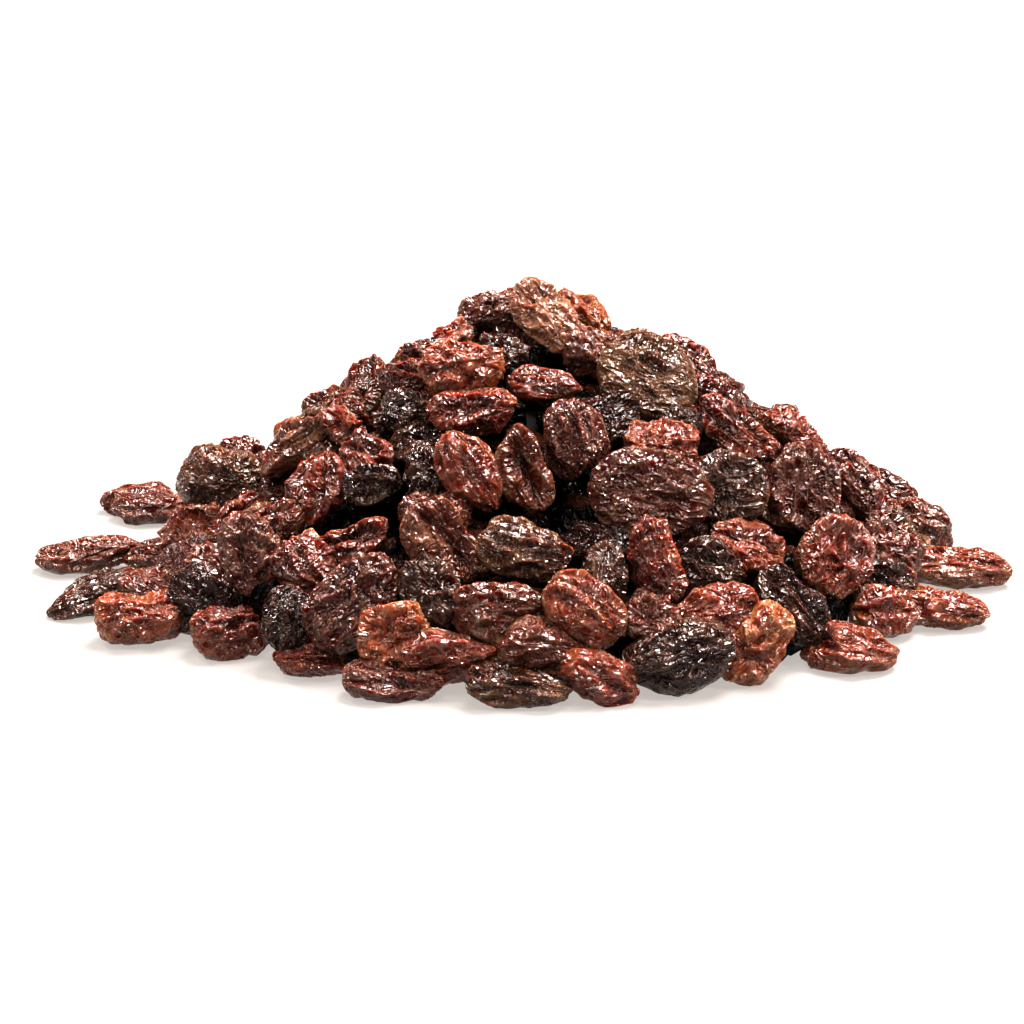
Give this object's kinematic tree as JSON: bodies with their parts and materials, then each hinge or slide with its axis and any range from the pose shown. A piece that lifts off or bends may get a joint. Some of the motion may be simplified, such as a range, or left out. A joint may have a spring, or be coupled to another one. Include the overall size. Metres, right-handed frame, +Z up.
{
  "type": "heap of raisins",
  "caption": "Loose heap of dark, wrinkled raisins that lies on a flat surface, peaked in the middle, with single raisins fanned out round its foot.",
  "frame": {"origin": "on the surface that the heap lies on, under its peak", "axes": "+Z up, -Y towards the front that the picture shows, +X to its right"},
  "size_m": [0.1609, 0.1437, 0.0476],
  "materials": {
    "raisin_skin": "glossy, sticky, wrinkled fruit skin, dark red-brown to near black, a little see-through at thin edges"
  },
  "bodies": {
    "root": {"raisin_heap": "raisin_skin"}
  },
  "joints": []
}
